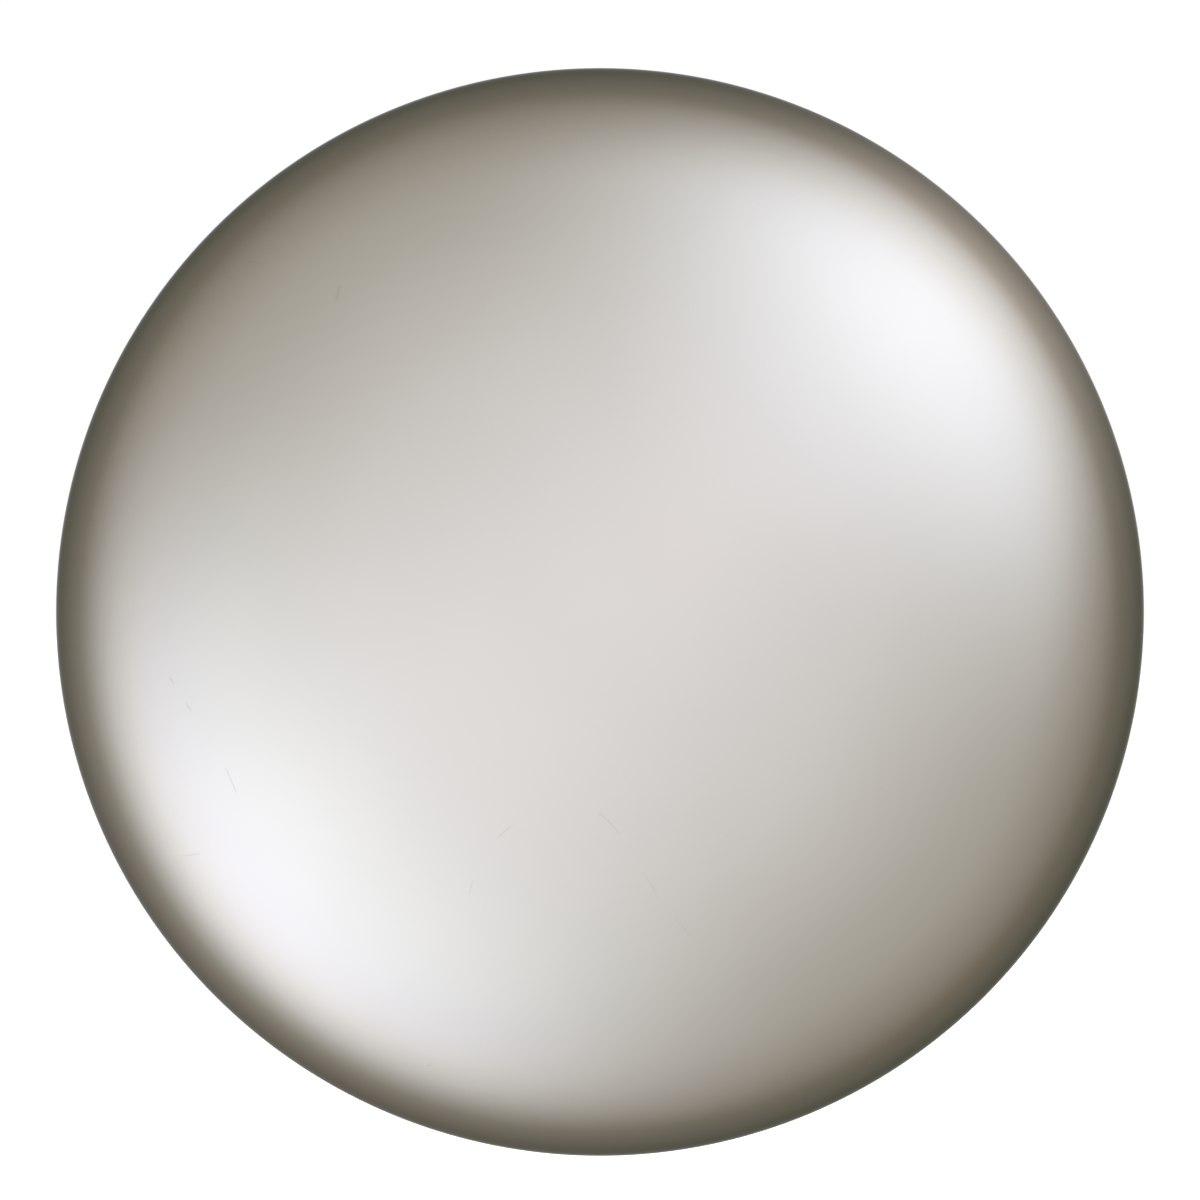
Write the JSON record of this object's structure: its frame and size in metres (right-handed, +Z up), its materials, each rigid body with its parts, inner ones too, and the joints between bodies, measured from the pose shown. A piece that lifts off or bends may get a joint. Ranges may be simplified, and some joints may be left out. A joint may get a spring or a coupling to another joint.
{
  "type": "traffic convex mirror",
  "caption": "Round rimless convex traffic mirror of polished steel with a ribbed back shell, on a clamped pan-and-tilt bracket for a wall or post.",
  "frame": {"origin": "centre of the wall plate's rear face, on the wall's surface", "axes": "+Y points into the wall, so the mirror looks along -Y; +Z is up; +X is to the right for someone facing the mirror"},
  "size_m": [0.6, 0.3575, 0.6],
  "materials": {
    "mirror_steel": "polished warm stainless steel with a soft, slightly hazed reflection",
    "shell_plastic": "fine moulded grain, UV-stable grey",
    "seal_rubber": "matt black EPDM",
    "galvanised_steel": "hot-dip galvanised with a soft spangle",
    "cast_aluminium": "as cast, fine blasted grain",
    "zinc_fastener": "bright zinc plate",
    "friction_nylon": "natural nylon"
  },
  "bodies": {
    "wall_bracket": {"wall_bracket": "galvanised_steel", "pan_bolt": "zinc_fastener", "pan_nut": "zinc_fastener", "pan_washer_a": "zinc_fastener", "pan_washer_b": "zinc_fastener"},
    "knuckle": {"swivel_knuckle": "cast_aluminium", "pan_friction_disc_a": "friction_nylon", "pan_friction_disc_b": "friction_nylon", "tilt_friction_disc_a": "friction_nylon", "tilt_friction_disc_b": "friction_nylon"},
    "mirror_head": {"tilt_bolt": "zinc_fastener", "tilt_nut": "zinc_fastener", "tilt_washer_a": "zinc_fastener", "tilt_washer_b": "zinc_fastener", "mirror_face": "mirror_steel", "rim_gasket": "seal_rubber", "back_shell": "shell_plastic", "hub_stiffener": "galvanised_steel", "ear_bracket_left": "galvanised_steel", "ear_bracket_right": "galvanised_steel", "rim_rivet_01": "zinc_fastener", "rim_rivet_02": "zinc_fastener", "rim_rivet_03": "zinc_fastener", "rim_rivet_04": "zinc_fastener", "rim_rivet_05": "zinc_fastener", "rim_rivet_06": "zinc_fastener", "rim_rivet_07": "zinc_fastener", "rim_rivet_08": "zinc_fastener", "rim_rivet_09": "zinc_fastener", "rim_rivet_10": "zinc_fastener", "rim_rivet_11": "zinc_fastener", "rim_rivet_12": "zinc_fastener", "breather_vent_left": "seal_rubber", "breather_vent_right": "seal_rubber", "hub_bolt_1": "zinc_fastener", "hub_seal_1": "seal_rubber", "hub_washer_1": "zinc_fastener", "hub_nut_1": "zinc_fastener", "hub_bolt_2": "zinc_fastener", "hub_seal_2": "seal_rubber", "hub_washer_2": "zinc_fastener", "hub_nut_2": "zinc_fastener", "hub_bolt_3": "zinc_fastener", "hub_seal_3": "seal_rubber", "hub_washer_3": "zinc_fastener", "hub_nut_3": "zinc_fastener", "hub_bolt_4": "zinc_fastener", "hub_seal_4": "seal_rubber", "hub_washer_4": "zinc_fastener", "hub_nut_4": "zinc_fastener"}
  },
  "joints": [
    {"name": "pan", "type": "hinge", "parent": "wall_bracket", "child": "knuckle", "pos_m": [0, -0.105, 0], "axis": [0, 0, 1], "range_deg": [-35, 35]},
    {"name": "tilt", "type": "hinge", "parent": "knuckle", "child": "mirror_head", "pos_m": [0, -0.155, 0], "axis": [1, 0, 0], "range_deg": [-10, 25]}
  ]
}
